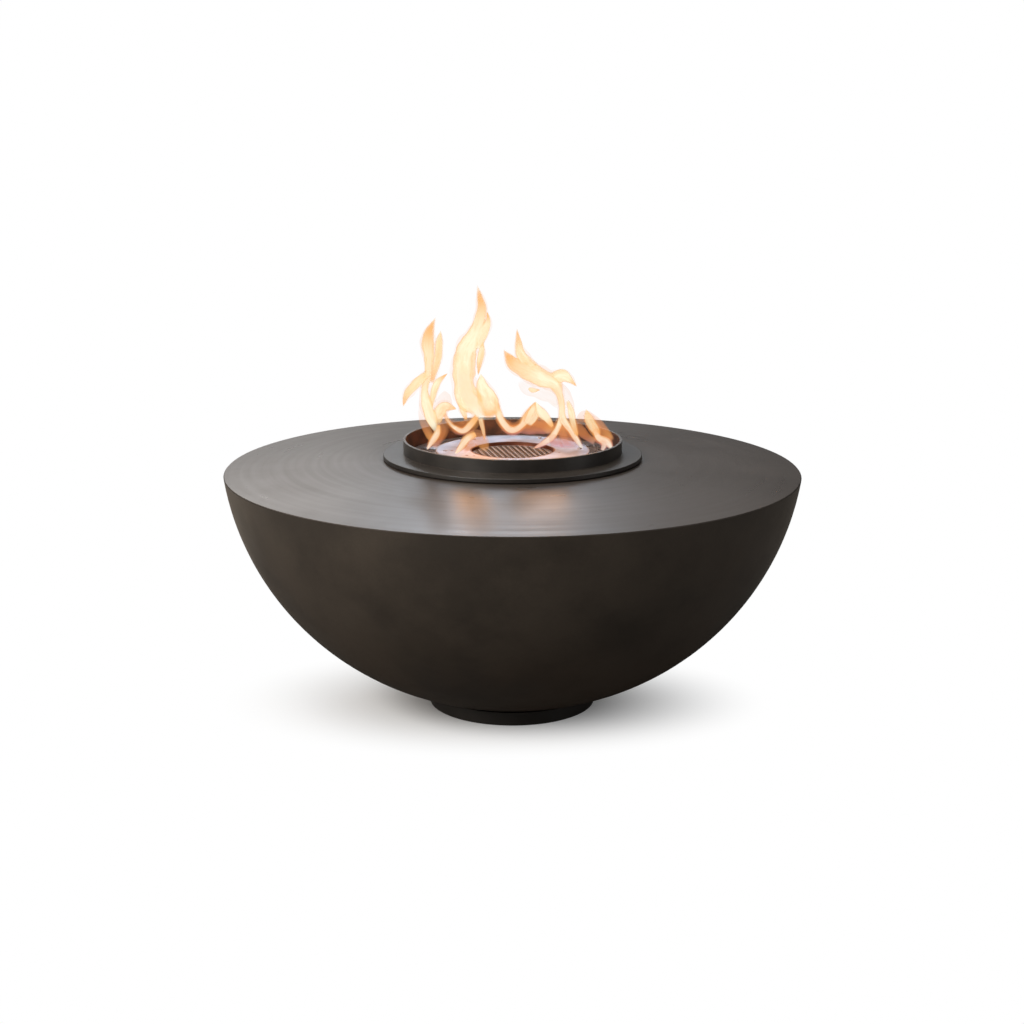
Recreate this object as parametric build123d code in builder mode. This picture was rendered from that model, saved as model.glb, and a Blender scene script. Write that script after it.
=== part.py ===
"""Round outdoor fire bowl that burns bioethanol in a drop-in ring burner.

The origin is on the floor under the middle of the foot, +Z is up and -Y is the front.
The bowl and its domed top slab are cast in fibre concrete. The burner insert hangs by its
flange in the slab's opening and lifts straight out. In it, the burner head lifts off the
fuel pan, and the grate lifts out of the head. All lengths are in millimetres.
"""

from math import atan2, cos, hypot, radians, sin, sqrt
import os

from build123d import *

os.makedirs("parts", exist_ok=True)

# Bowl
rim_radius = 500.0
rim_height = 425.0
bowl_arc_radius = 474.0
bowl_base_radius = 127.0
bowl_wall = 18.0
bowl_floor = 24.0
shadow_joint = 1.5

# Top slab
dome_rise = 19.5
slab_thickness = 18.0
slab_opening_radius = 195.0
opening_band_width = 35.0
opening_band_depth = 34.0
opening_chamfer = 1.5

# Brackets that tie the slab to the bowl
bracket_count = 6
bracket_start = 30.0
bracket_width = 40.0
bracket_thickness = 5.0
bracket_drop = 46.0
bracket_reach = 36.0
bracket_bend_fillet = 4.0
pad_margin = 5.0
slab_pad_depth = 11.0
bracket_bolt_radius = 4.0
bracket_bolt_length = 20.0
bracket_head_flats = 13.0
bracket_head_height = 5.5

# Foot
foot_radius = 147.5
foot_height = 24.0
foot_plate = 11.0
foot_rim_width = 17.0
foot_edge_fillet = 1.2
drain_width = 22.0
drain_height = 7.0
pad_ring_width = 11.0
pad_ring_thickness = 3.0
pad_stand = 1.0
foot_bolt_circle_radius = 100.0
foot_bolt_count = 4
foot_bolt_start = 45.0
foot_bolt_radius = 5.0
foot_bolt_grip = 16.0
foot_head_flats = 17.0
foot_head_height = 6.4
foot_washer_radius = 15.0
foot_washer_thickness = 2.5
insert_wall = 3.0
insert_length = 20.0
vent_radius = 20.0
vent_wall = 1.5
vent_lip_width = 9.0

# Burner surround: flange, collar and skirt in one black casting
gasket_thickness = 1.5
gasket_margin = 6.0
flange_overlap = 30.0
flange_thickness = 8.5
flange_fall = 1.0
flange_edge_fillet = 1.2
skirt_clearance = 5.0
collar_wall = 4.0
collar_rise = 23.5
collar_lip_fillet = 1.4
collar_root_fillet = 6.0
skirt_depth = 32.0

# Fuel pan, heat shield and what lies between them
sheet = 1.5
pan_depth = 88.0
pan_stand = 1.0
pan_lip_width = 11.0
shield_sheet = 1.2
shield_lap = 16.0
shield_depth = 106.0
shield_hole_radius = 60.0
shield_vent_radius = 7.0
shield_vent_count = 16
shield_vent_rise = 34.0
shield_floor_fillet = 8.0
side_screw_radius = 2.5
side_screw_count = 6
side_screw_start = 15.0
side_screw_head_radius = 4.6
side_screw_head_height = 2.4
side_screw_end = 4.0

# Air tube, reservoir and wool
air_tube_radius = 68.0
reservoir_inner_radius = 72.0
reservoir_clearance = 9.7
reservoir_height = 64.0
reservoir_sheet = 1.2
wool_height = 58.0
wool_margin = 1.0

# Burner head: ring plate with windows, mesh, raised disc
window_plate_thickness = 2.0
window_count = 6
window_inner_radius = 137.0
window_rim_width = 14.4
window_web_width = 24.0
window_web_start = 36.0
window_corner = 3.0
window_plate_hole_radius = 76.0
mesh_thickness = 1.4
mesh_lap = 8.0
mesh_edge = 3.2
mesh_slot_width = 5.0
mesh_slot_count = 90
disc_rise = 8.5
disc_radius = 134.0
disc_sheet = 1.5
disc_edge_drop = 6.0
disc_edge_fillet = 4.0
disc_hole_radius = 73.0
disc_hole_drop = 10.5
disc_ledge_width = 5.0
post_circle_radius = 118.0
post_radius = 5.0
post_count = 6
post_start = 6.0
disc_screw_radius = 2.0
disc_screw_head_radius = 3.8
disc_screw_head_height = 1.6
disc_screw_head_fillet = 1.1

# Grate in the disc's opening
grate_frame_height = 3.0
grate_frame_width = 4.0
grate_mesh_thickness = 1.4
grate_pitch = 8.0
grate_gap = 6.2
grate_turn = -21.0

# Clearances
slide_gap = 0.5
hole_gap = 0.5
thread_gap = 0.05
lift_gap = 0.3
bolt_end_gap = 1.0

# How far a cut runs past the face it starts on, and how near counts as the same place
cut_over = 1.0
near = 0.01

# Heights and radii that follow from the sizes above
foot_floor = pad_stand
bowl_underside = foot_height
bowl_floor_top = bowl_underside + bowl_floor
seat_height = rim_height + dome_rise
seat_radius = slab_opening_radius + opening_band_width
flange_radius = slab_opening_radius + flange_overlap
flange_underside = seat_height + gasket_thickness
flange_top = flange_underside + flange_thickness
collar_top = flange_top + collar_rise
skirt_bottom = flange_underside - skirt_depth
collar_radius = slab_opening_radius - skirt_clearance
collar_bore = collar_radius - collar_wall
pan_radius = collar_bore - lift_gap
reservoir_radius = pan_radius - reservoir_clearance
pan_top = flange_underside + pan_stand
pan_bottom = pan_top - pan_depth
shield_inner = collar_radius + thread_gap
shield_outer = shield_inner + shield_sheet
shield_top = skirt_bottom + shield_lap
shield_bottom = flange_underside - shield_depth
shield_floor_top = shield_bottom + shield_sheet
plate_top = pan_top + window_plate_thickness
plate_radius = pan_radius - lift_gap
window_outer_radius = plate_radius - window_rim_width
mesh_inner_radius = window_inner_radius - mesh_lap
mesh_outer_radius = pan_radius - pan_lip_width - slide_gap
slot_outer_radius = mesh_outer_radius - mesh_edge
disc_top = plate_top + disc_rise
ledge_top = disc_top - disc_hole_drop + disc_sheet
ledge_bottom = disc_top - disc_hole_drop
grate_radius = disc_hole_radius - disc_sheet - slide_gap


def arc_centre(inner, outer, radius):
    """Centre of the arc that bulges outwards and down between two profile points."""
    run = outer[0] - inner[0]
    rise = outer[1] - inner[1]
    chord = hypot(run, rise)
    reach = sqrt(radius**2 - (chord / 2) ** 2)
    middle = ((inner[0] + outer[0]) / 2, (inner[1] + outer[1]) / 2)
    return (middle[0] - reach * rise / chord, middle[1] + reach * run / chord)


bowl_foot_point = (bowl_base_radius, bowl_underside)
rim_point = (rim_radius, rim_height)
bowl_centre = arc_centre(bowl_foot_point, rim_point, bowl_arc_radius)
inner_arc_radius = bowl_arc_radius - bowl_wall


def bowl_radius(height, arc_radius=bowl_arc_radius):
    """Distance from the axis of the bowl's wall at a height."""
    return bowl_centre[0] + sqrt(arc_radius**2 - (bowl_centre[1] - height) ** 2)


def bowl_arc_point(start, end, arc_radius):
    """Middle point of the bowl's arc between two heights."""
    angles = []
    for height in (start, end):
        drop = height - bowl_centre[1]
        angles.append(atan2(drop, bowl_radius(height, arc_radius) - bowl_centre[0]))
    angle = sum(angles) / 2
    return (
        bowl_centre[0] + arc_radius * cos(angle),
        bowl_centre[1] + arc_radius * sin(angle),
    )


# The dome is a flat arc whose radius follows from its rise between the rim and the seat
dome_outer_radius = rim_radius - shadow_joint
dome_radius = (dome_outer_radius**2 - seat_radius**2) / (2 * dome_rise)


def dome_height(radius, depth=0.0):
    """Height of the slab's top, or of a surface that runs depth below it."""
    return rim_height + (dome_outer_radius**2 - radius**2) / (2 * dome_radius) - depth


def around(count, radius, start=0.0):
    """Places on a circle about the axis, each turned to face outwards."""
    return PolarLocations(radius, count, start_angle=start)


def radial_plane(radius, angle, height):
    """Upright plane at a distance from the axis, with its normal pointing outwards."""
    across = cos(radians(angle))
    along = sin(radians(angle))
    return Plane(origin=(radius * across, radius * along, height), z_dir=(across, along, 0))


def radial_pins(count, start, height, inner, outer, pin_radius):
    """Round pins that point outwards all round the axis, used as screws and to cut holes."""
    with BuildPart(mode=Mode.PRIVATE) as pins:
        for turn in range(count):
            with BuildSketch(radial_plane(inner, start + turn * 360 / count, height)):
                Circle(pin_radius)
            extrude(amount=outer - inner)
    return pins.part


def save(part, name):
    """Labels a finished piece and writes it as its own file."""
    part.label = name
    export_step(part, f"parts/{name}.step")


# Bowl shell: a revolved wall with a flat foot, mitred at the rim to take the slab
mitre_height = rim_height - slab_thickness
mitre_inner = bowl_radius(mitre_height, inner_arc_radius)
joint_radius = rim_radius - shadow_joint
joint_height = rim_height - shadow_joint
vent_hole_radius = vent_radius + vent_wall

pad_width = bracket_width + 2 * pad_margin
slab_pad_bottom = mitre_height - slab_pad_depth
lug_top = slab_pad_bottom - pad_margin
lug_bottom = slab_pad_bottom - bracket_drop - pad_margin
lug_face = bowl_radius(lug_bottom, inner_arc_radius) - lift_gap
lug_back = bowl_radius(lug_bottom) - shadow_joint
side_bolt_height = (lug_top + lug_bottom) / 2 - pad_margin
bolt_hole_depth = bracket_bolt_length - bracket_thickness
lug_holes = radial_pins(
    bracket_count,
    bracket_start,
    side_bolt_height,
    lug_face - cut_over,
    lug_face + bolt_hole_depth,
    bracket_bolt_radius + thread_gap,
)

with BuildPart() as bowl_shell:
    with BuildSketch(Plane.XZ):
        with BuildLine():
            Line((vent_hole_radius, bowl_underside), bowl_foot_point)
            ThreePointArc(
                bowl_foot_point,
                bowl_arc_point(bowl_underside, joint_height, bowl_arc_radius),
                (bowl_radius(joint_height), joint_height),
            )
            Line((bowl_radius(joint_height), joint_height), (joint_radius, joint_height))
            Line((joint_radius, joint_height), (mitre_inner, mitre_height))
            ThreePointArc(
                (mitre_inner, mitre_height),
                bowl_arc_point(mitre_height, bowl_floor_top, inner_arc_radius),
                (bowl_radius(bowl_floor_top, inner_arc_radius), bowl_floor_top),
            )
            Line(
                (bowl_radius(bowl_floor_top, inner_arc_radius), bowl_floor_top),
                (vent_hole_radius, bowl_floor_top),
            )
            Line((vent_hole_radius, bowl_floor_top), (vent_hole_radius, bowl_underside))
        make_face()
    revolve(axis=Axis.Z)

    # Flat-faced lugs inside the wall, which the brackets are bolted to
    with BuildSketch(Plane.XY.offset(lug_bottom)):
        with around(bracket_count, (lug_face + lug_back) / 2, bracket_start):
            Rectangle(lug_back - lug_face, pad_width)
    extrude(amount=lug_top - lug_bottom)
    add(lug_holes, mode=Mode.SUBTRACT)

    # Seats of the threaded inserts that the foot is bolted to
    insert_radius = foot_bolt_radius + insert_wall
    with BuildSketch(Plane.XY.offset(bowl_underside)):
        with around(foot_bolt_count, foot_bolt_circle_radius, foot_bolt_start):
            Circle(insert_radius)
    extrude(amount=insert_length, mode=Mode.SUBTRACT)
save(bowl_shell.part, "bowl_shell")

# Top slab: a very shallow dome with a mitred edge and a thicker band round its opening
band_bottom = seat_height - opening_band_depth
middle_radius = (seat_radius + dome_outer_radius) / 2
under_middle = (seat_radius + mitre_inner) / 2
under_seat = (seat_radius, dome_height(seat_radius, slab_thickness))
under_edge = (mitre_inner, mitre_height)

with BuildPart() as top_slab:
    with BuildSketch(Plane.XZ):
        with BuildLine():
            Line((slab_opening_radius, seat_height), (seat_radius, seat_height))
            ThreePointArc(
                (seat_radius, seat_height),
                (middle_radius, dome_height(middle_radius)),
                (dome_outer_radius, rim_height),
            )
            Line((dome_outer_radius, rim_height), (joint_radius, joint_height))
            Line((joint_radius, joint_height), under_edge)
            ThreePointArc(
                under_edge,
                (under_middle, dome_height(under_middle, slab_thickness)),
                under_seat,
            )
            Line(under_seat, (seat_radius, band_bottom))
            Line((seat_radius, band_bottom), (slab_opening_radius, band_bottom))
            Line((slab_opening_radius, band_bottom), (slab_opening_radius, seat_height))
        make_face()
    revolve(axis=Axis.Z)
    opening_edges = top_slab.edges().filter_by(GeomType.CIRCLE)
    opening_edges = opening_edges.filter_by(lambda e: abs(e.radius - slab_opening_radius) < near)
    chamfer(opening_edges, opening_chamfer)

    # Flat pads under the slab, which the brackets are bolted to
    pad_outer = lug_face
    pad_inner = pad_outer - bracket_reach - pad_margin
    with BuildSketch(Plane.XY.offset(slab_pad_bottom)):
        with around(bracket_count, (pad_outer + pad_inner) / 2, bracket_start):
            Rectangle(pad_outer - pad_inner, pad_width)
    extrude(amount=slab_pad_depth + slab_thickness / 2)
    slab_bolt_circle = pad_outer - bracket_thickness - bracket_reach / 2
    with BuildSketch(Plane.XY.offset(slab_pad_bottom)):
        with around(bracket_count, slab_bolt_circle, bracket_start):
            Circle(bracket_bolt_radius + thread_gap)
    extrude(amount=bolt_hole_depth, mode=Mode.SUBTRACT)
save(top_slab.part, "top_slab")

# Rim brackets: bent steel angles, one leg under the slab and one against the bowl's lug
leg_holes = radial_pins(
    bracket_count,
    bracket_start,
    side_bolt_height,
    pad_outer - 2 * bracket_thickness,
    pad_outer + cut_over,
    bracket_bolt_radius + hole_gap,
)
bend_inner = pad_outer - bracket_thickness
bend_height = slab_pad_bottom - bracket_thickness

with BuildPart() as rim_brackets:
    with BuildSketch(Plane.XY.offset(bend_height)):
        with around(bracket_count, pad_outer - bracket_reach / 2, bracket_start):
            Rectangle(bracket_reach, bracket_width)
    extrude(amount=bracket_thickness)
    with BuildSketch(Plane.XY.offset(slab_pad_bottom - bracket_drop)):
        with around(bracket_count, pad_outer - bracket_thickness / 2, bracket_start):
            Rectangle(bracket_thickness, bracket_width)
    extrude(amount=bracket_drop)
    inner_bends = rim_brackets.edges().filter_by(
        lambda e: abs(hypot(e.center().X, e.center().Y) - bend_inner) < near
        and abs(e.center().Z - bend_height) < near
        and abs(e.length - bracket_width) < near
    )
    fillet(inner_bends, bracket_bend_fillet)
    with BuildSketch(Plane.XY.offset(slab_pad_bottom)):
        with around(bracket_count, slab_bolt_circle, bracket_start):
            Circle(bracket_bolt_radius + hole_gap)
    extrude(amount=-bracket_thickness, mode=Mode.SUBTRACT)
    add(leg_holes, mode=Mode.SUBTRACT)
save(rim_brackets.part, "rim_brackets")

# Bracket bolts: one up into each slab pad and one outwards into each lug
side_shanks = radial_pins(
    bracket_count,
    bracket_start,
    side_bolt_height,
    bend_inner,
    bend_inner + bracket_bolt_length - bolt_end_gap,
    bracket_bolt_radius,
)
with BuildPart() as bracket_bolts:
    with BuildSketch(Plane.XY.offset(bend_height)):
        with around(bracket_count, slab_bolt_circle, bracket_start):
            RegularPolygon(bracket_head_flats / 2, 6, major_radius=False)
    extrude(amount=-bracket_head_height)
    with BuildSketch(Plane.XY.offset(bend_height)):
        with around(bracket_count, slab_bolt_circle, bracket_start):
            Circle(bracket_bolt_radius)
    extrude(amount=bracket_bolt_length - bolt_end_gap)
    for turn in range(bracket_count):
        angle = bracket_start + turn * 360 / bracket_count
        with BuildSketch(radial_plane(bend_inner, angle, side_bolt_height)):
            RegularPolygon(bracket_head_flats / 2, 6, major_radius=False)
        extrude(amount=-bracket_head_height)
    add(side_shanks)
save(bracket_bolts.part, "bracket_bolts")

# Foot plinth: a round plate with a deep rim, hollow underneath, drained at the back
foot_plate_bottom = foot_height - foot_plate
foot_recess_radius = foot_radius - foot_rim_width
pad_groove_depth = pad_ring_thickness - pad_stand
pad_ring_radius = foot_radius - (foot_rim_width - pad_ring_width) / 2
pad_ring_inner = pad_ring_radius - pad_ring_width

with BuildPart() as foot_plinth:
    with BuildSketch(Plane.XY.offset(foot_floor)):
        Circle(foot_radius)
    extrude(amount=foot_height - foot_floor)
    fillet(foot_plinth.edges().group_by(Axis.Z)[0], foot_edge_fillet)
    with BuildSketch(Plane.XY.offset(foot_floor)):
        Circle(foot_recess_radius)
    extrude(amount=foot_plate_bottom - foot_floor, mode=Mode.SUBTRACT)
    with BuildSketch(Plane.XY.offset(foot_floor)):
        Circle(pad_ring_radius)
        Circle(pad_ring_inner, mode=Mode.SUBTRACT)
    extrude(amount=pad_groove_depth, mode=Mode.SUBTRACT)
    with BuildSketch(Plane.XY.offset(foot_plate_bottom)):
        Circle(vent_hole_radius)
        with around(foot_bolt_count, foot_bolt_circle_radius, foot_bolt_start):
            Circle(foot_bolt_radius + hole_gap)
    extrude(amount=foot_plate, mode=Mode.SUBTRACT)
    with BuildSketch(Plane.XY.offset(foot_floor)):
        with Locations((0, foot_recess_radius + foot_rim_width / 2)):
            Rectangle(drain_width, foot_rim_width * 2)
    extrude(amount=drain_height, mode=Mode.SUBTRACT)
save(foot_plinth.part, "foot_plinth")

# Rubber ring let into the plinth's rim, open at the drain
with BuildPart() as foot_pad_ring:
    with BuildSketch(Plane.XY):
        Circle(pad_ring_radius)
        Circle(pad_ring_inner, mode=Mode.SUBTRACT)
        with Locations((0, foot_recess_radius + foot_rim_width / 2)):
            Rectangle(drain_width, foot_rim_width * 2, mode=Mode.SUBTRACT)
    extrude(amount=pad_ring_thickness)
save(foot_pad_ring.part, "foot_pad_ring")

# Threaded inserts cast into the bowl's floor
with BuildPart() as bowl_inserts:
    with BuildSketch(Plane.XY.offset(bowl_underside)):
        with around(foot_bolt_count, foot_bolt_circle_radius, foot_bolt_start):
            Circle(insert_radius)
            Circle(foot_bolt_radius + thread_gap, mode=Mode.SUBTRACT)
    extrude(amount=insert_length)
save(bowl_inserts.part, "bowl_inserts")

# Foot washers and bolts, fitted from below inside the plinth's recess
washer_bottom = foot_plate_bottom - foot_washer_thickness
with BuildPart() as foot_washers:
    with BuildSketch(Plane.XY.offset(washer_bottom)):
        with around(foot_bolt_count, foot_bolt_circle_radius, foot_bolt_start):
            Circle(foot_washer_radius)
            Circle(foot_bolt_radius + hole_gap, mode=Mode.SUBTRACT)
    extrude(amount=foot_washer_thickness)
save(foot_washers.part, "foot_washers")

with BuildPart() as foot_bolts:
    with BuildSketch(Plane.XY.offset(washer_bottom - foot_head_height)):
        with around(foot_bolt_count, foot_bolt_circle_radius, foot_bolt_start):
            RegularPolygon(foot_head_flats / 2, 6, major_radius=False)
    extrude(amount=foot_head_height)
    with BuildSketch(Plane.XY.offset(washer_bottom)):
        with around(foot_bolt_count, foot_bolt_circle_radius, foot_bolt_start):
            Circle(foot_bolt_radius)
    extrude(amount=foot_washer_thickness + foot_plate + foot_bolt_grip)
save(foot_bolts.part, "foot_bolts")

# Vent sleeve: a flanged tube through the bowl's floor and the plinth, for air and rain
with BuildPart() as vent_sleeve:
    with BuildSketch(Plane.XY.offset(foot_plate_bottom)):
        Circle(vent_hole_radius)
        Circle(vent_radius, mode=Mode.SUBTRACT)
    extrude(amount=bowl_floor_top - foot_plate_bottom)
    with BuildSketch(Plane.XY.offset(bowl_floor_top)):
        Circle(vent_radius + vent_lip_width)
        Circle(vent_radius, mode=Mode.SUBTRACT)
    extrude(amount=vent_wall)
save(vent_sleeve.part, "vent_sleeve")

# Flange gasket between the slab's seat and the burner's flange
with BuildPart() as flange_gasket:
    with BuildSketch(Plane.XY.offset(seat_height)):
        Circle(flange_radius - gasket_margin)
        Circle(slab_opening_radius + opening_chamfer, mode=Mode.SUBTRACT)
    extrude(amount=gasket_thickness)
save(flange_gasket.part, "flange_gasket")

# Side screws hold the shield, the surround's skirt and the pan together
screw_height = (skirt_bottom + shield_top) / 2
screw_places = (side_screw_count, side_screw_start, screw_height)
side_holes = radial_pins(
    *screw_places, pan_radius - 2 * sheet, shield_outer + sheet, side_screw_radius + thread_gap
)

# Burner surround: revolved collar, flange and skirt, with a root fillet and rounded lip
flange_edge_top = flange_top - flange_fall
with BuildPart() as burner_surround:
    with BuildSketch(Plane.XZ):
        with BuildLine():
            Polyline(
                (collar_bore, skirt_bottom),
                (collar_bore, collar_top),
                (collar_radius, collar_top),
                (collar_radius, flange_top),
                (flange_radius, flange_edge_top),
                (flange_radius, flange_underside),
                (collar_radius, flange_underside),
                (collar_radius, skirt_bottom),
                close=True,
            )
        face = make_face()
        root = face.vertices().filter_by(
            lambda v: abs(v.X - collar_radius) < near and abs(v.Z - flange_top) < near
        )
        fillet(root, collar_root_fillet)
        lip = face.vertices().filter_by(lambda v: abs(v.Z - collar_top) < near)
        fillet(lip, collar_lip_fillet)
        edge = face.vertices().filter_by(lambda v: abs(v.X - flange_radius) < near)
        fillet(edge, flange_edge_fillet)
    revolve(axis=Axis.Z)
    add(side_holes, mode=Mode.SUBTRACT)
save(burner_surround.part, "burner_surround")

# Burner pan: spun stainless well with an inward lip that carries the head
with BuildPart() as burner_pan:
    with BuildSketch(Plane.XZ):
        with BuildLine():
            Polyline(
                (air_tube_radius + thread_gap, pan_bottom),
                (pan_radius, pan_bottom),
                (pan_radius, pan_top),
                (pan_radius - pan_lip_width, pan_top),
                (pan_radius - pan_lip_width, pan_top - sheet),
                (pan_radius - sheet, pan_top - sheet),
                (pan_radius - sheet, pan_bottom + sheet),
                (air_tube_radius + thread_gap, pan_bottom + sheet),
                close=True,
            )
        make_face()
    revolve(axis=Axis.Z)
    add(side_holes, mode=Mode.SUBTRACT)
save(burner_pan.part, "burner_pan")

# Heat shield: a spun cup round the skirt, with cooling holes in its wall
shield_vents = radial_pins(
    shield_vent_count,
    0,
    shield_bottom + shield_vent_rise,
    shield_inner - cut_over,
    shield_outer + cut_over,
    shield_vent_radius,
)
with BuildPart() as heat_shield:
    with BuildSketch(Plane.XY.offset(shield_bottom)):
        Circle(shield_outer)
    extrude(amount=shield_top - shield_bottom)
    fillet(heat_shield.edges().group_by(Axis.Z)[0], shield_floor_fillet)
    offset(amount=-shield_sheet, openings=heat_shield.faces().sort_by(Axis.Z)[-1])
    with BuildSketch(Plane.XY.offset(shield_bottom)):
        Circle(shield_hole_radius)
    extrude(amount=shield_sheet, mode=Mode.SUBTRACT)
    add(shield_vents, mode=Mode.SUBTRACT)
    add(side_holes, mode=Mode.SUBTRACT)
save(heat_shield.part, "heat_shield")

# Insulation board between the shield's floor and the pan
board_radius = shield_inner - shield_floor_fillet
with BuildPart() as insulation_board:
    with BuildSketch(Plane.XY.offset(shield_floor_top)):
        Circle(board_radius)
        Circle(air_tube_radius + slide_gap, mode=Mode.SUBTRACT)
    extrude(amount=pan_bottom - shield_floor_top)
save(insulation_board.part, "insulation_board")

# Air tube: feeds the middle of the fire from inside the bowl
with BuildPart() as air_tube:
    with BuildSketch(Plane.XY.offset(shield_floor_top)):
        Circle(air_tube_radius)
        Circle(air_tube_radius - sheet, mode=Mode.SUBTRACT)
    extrude(amount=ledge_bottom - lift_gap - shield_floor_top)
save(air_tube.part, "air_tube")

# Side screws, each with a flat round head outside the shield
head_start = shield_outer + thread_gap
head_end = head_start + side_screw_head_height
screw_shanks = radial_pins(
    *screw_places, pan_radius - side_screw_end, head_start, side_screw_radius
)
screw_heads = radial_pins(*screw_places, head_start, head_end, side_screw_head_radius)
with BuildPart() as side_screws:
    add(screw_shanks)
    add(screw_heads)
save(side_screws.part, "side_screws")

# Fuel reservoir: an open ring tray that stands on the pan's floor
tray_floor = pan_bottom + sheet
with BuildPart() as fuel_reservoir:
    with BuildSketch(Plane.XZ):
        with BuildLine():
            Polyline(
                (reservoir_inner_radius, tray_floor),
                (reservoir_radius, tray_floor),
                (reservoir_radius, tray_floor + reservoir_height),
                (reservoir_radius - reservoir_sheet, tray_floor + reservoir_height),
                (reservoir_radius - reservoir_sheet, tray_floor + reservoir_sheet),
                (reservoir_inner_radius + reservoir_sheet, tray_floor + reservoir_sheet),
                (reservoir_inner_radius + reservoir_sheet, tray_floor + reservoir_height),
                (reservoir_inner_radius, tray_floor + reservoir_height),
                close=True,
            )
        make_face()
    revolve(axis=Axis.Z)
save(fuel_reservoir.part, "fuel_reservoir")

# Ceramic wool that soaks up the fuel
wool_floor = tray_floor + reservoir_sheet
wool_inner = reservoir_inner_radius + reservoir_sheet + wool_margin
wool_outer = reservoir_radius - reservoir_sheet - wool_margin
with BuildPart() as wool_ring:
    with BuildSketch(Plane.XY.offset(wool_floor)):
        Circle(wool_outer)
        Circle(wool_inner, mode=Mode.SUBTRACT)
    extrude(amount=wool_height)
save(wool_ring.part, "wool_ring")

# Window plate: a ring with six long windows between radial webs
with BuildPart() as window_plate:
    with BuildSketch(Plane.XY.offset(pan_top)):
        Circle(plate_radius)
        Circle(window_plate_hole_radius, mode=Mode.SUBTRACT)
        with BuildSketch(mode=Mode.PRIVATE) as windows:
            Circle(window_outer_radius)
            Circle(window_inner_radius, mode=Mode.SUBTRACT)
            with around(window_count, window_outer_radius / 2, window_web_start):
                Rectangle(window_outer_radius + 2 * cut_over, window_web_width, mode=Mode.SUBTRACT)
            fillet(windows.vertices(), window_corner)
        add(windows.sketch, mode=Mode.SUBTRACT)
        with around(post_count, post_circle_radius, post_start):
            Circle(disc_screw_radius + thread_gap, mode=Mode.SUBTRACT)
    extrude(amount=window_plate_thickness)
save(window_plate.part, "window_plate")

# Mesh ring spot-welded under the window plate
slot_length = slot_outer_radius - window_inner_radius
slot_circle_radius = (slot_outer_radius + window_inner_radius) / 2
with BuildPart() as mesh_ring:
    with BuildSketch(Plane.XY.offset(pan_top - mesh_thickness)):
        Circle(mesh_outer_radius)
        Circle(mesh_inner_radius, mode=Mode.SUBTRACT)
        with around(mesh_slot_count, slot_circle_radius):
            Rectangle(slot_length, mesh_slot_width, mode=Mode.SUBTRACT)
    extrude(amount=mesh_thickness)
save(mesh_ring.part, "mesh_ring")

# Baffle disc: pressed sheet with a rolled rim and a drawn opening with a ledge
with BuildPart() as baffle_disc:
    with BuildSketch(Plane.XZ):
        with BuildLine():
            Polyline(
                (disc_radius, disc_top - disc_edge_drop),
                (disc_radius, disc_top),
                (disc_hole_radius - disc_sheet, disc_top),
                (disc_hole_radius - disc_sheet, ledge_top),
                (disc_hole_radius - disc_sheet - disc_ledge_width, ledge_top),
                (disc_hole_radius - disc_sheet - disc_ledge_width, ledge_bottom),
                (disc_hole_radius, ledge_bottom),
                (disc_hole_radius, disc_top - disc_sheet),
                (disc_radius - disc_sheet, disc_top - disc_sheet),
                (disc_radius - disc_sheet, disc_top - disc_edge_drop),
                close=True,
            )
        disc_face = make_face()
        outer_roll = disc_face.vertices().filter_by(
            lambda v: abs(v.X - disc_radius) < near and abs(v.Z - disc_top) < near
        )
        fillet(outer_roll, disc_edge_fillet)
    revolve(axis=Axis.Z)
    with BuildSketch(Plane.XY.offset(disc_top)):
        with around(post_count, post_circle_radius, post_start):
            Circle(disc_screw_radius + thread_gap)
    extrude(amount=-disc_sheet, mode=Mode.SUBTRACT)
save(baffle_disc.part, "baffle_disc")

# Posts that hold the disc above the window plate, and the screws down through them
with BuildPart() as disc_posts:
    with BuildSketch(Plane.XY.offset(plate_top)):
        with around(post_count, post_circle_radius, post_start):
            Circle(post_radius)
            Circle(disc_screw_radius + thread_gap, mode=Mode.SUBTRACT)
    extrude(amount=disc_rise - disc_sheet)
save(disc_posts.part, "disc_posts")

with BuildPart() as disc_screws:
    with BuildSketch(Plane.XY.offset(pan_top)):
        with around(post_count, post_circle_radius, post_start):
            Circle(disc_screw_radius)
    extrude(amount=disc_top - pan_top)
    with BuildSketch(Plane.XY.offset(disc_top)):
        with around(post_count, post_circle_radius, post_start):
            Circle(disc_screw_head_radius)
    extrude(amount=disc_screw_head_height)
    fillet(disc_screws.edges().group_by(Axis.Z)[-1], disc_screw_head_fillet)
save(disc_screws.part, "disc_screws")

# Grate: a ring frame that drops onto the disc's ledge, with a square mesh inside it
with BuildPart() as grate_frame:
    with BuildSketch(Plane.XY.offset(ledge_top)):
        Circle(grate_radius)
        Circle(grate_radius - grate_frame_width, mode=Mode.SUBTRACT)
    extrude(amount=grate_frame_height)
save(grate_frame.part, "grate_frame")

mesh_radius = grate_radius - grate_frame_width
mesh_lines = int(2 * mesh_radius / grate_pitch) + 1
hole_reach = mesh_radius - grate_gap
turned = Location((0, 0, 0), (0, 0, grate_turn))
mesh_holes = [
    turned * hole
    for hole in GridLocations(grate_pitch, grate_pitch, mesh_lines, mesh_lines)
    if hypot(hole.position.X, hole.position.Y) < hole_reach
]
with BuildPart() as grate_mesh:
    with BuildSketch(Plane.XY.offset(ledge_top)):
        Circle(mesh_radius)
        with Locations(*mesh_holes):
            Rectangle(grate_gap, grate_gap, mode=Mode.SUBTRACT)
    extrude(amount=grate_mesh_thickness)
save(grate_mesh.part, "grate_mesh")
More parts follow.
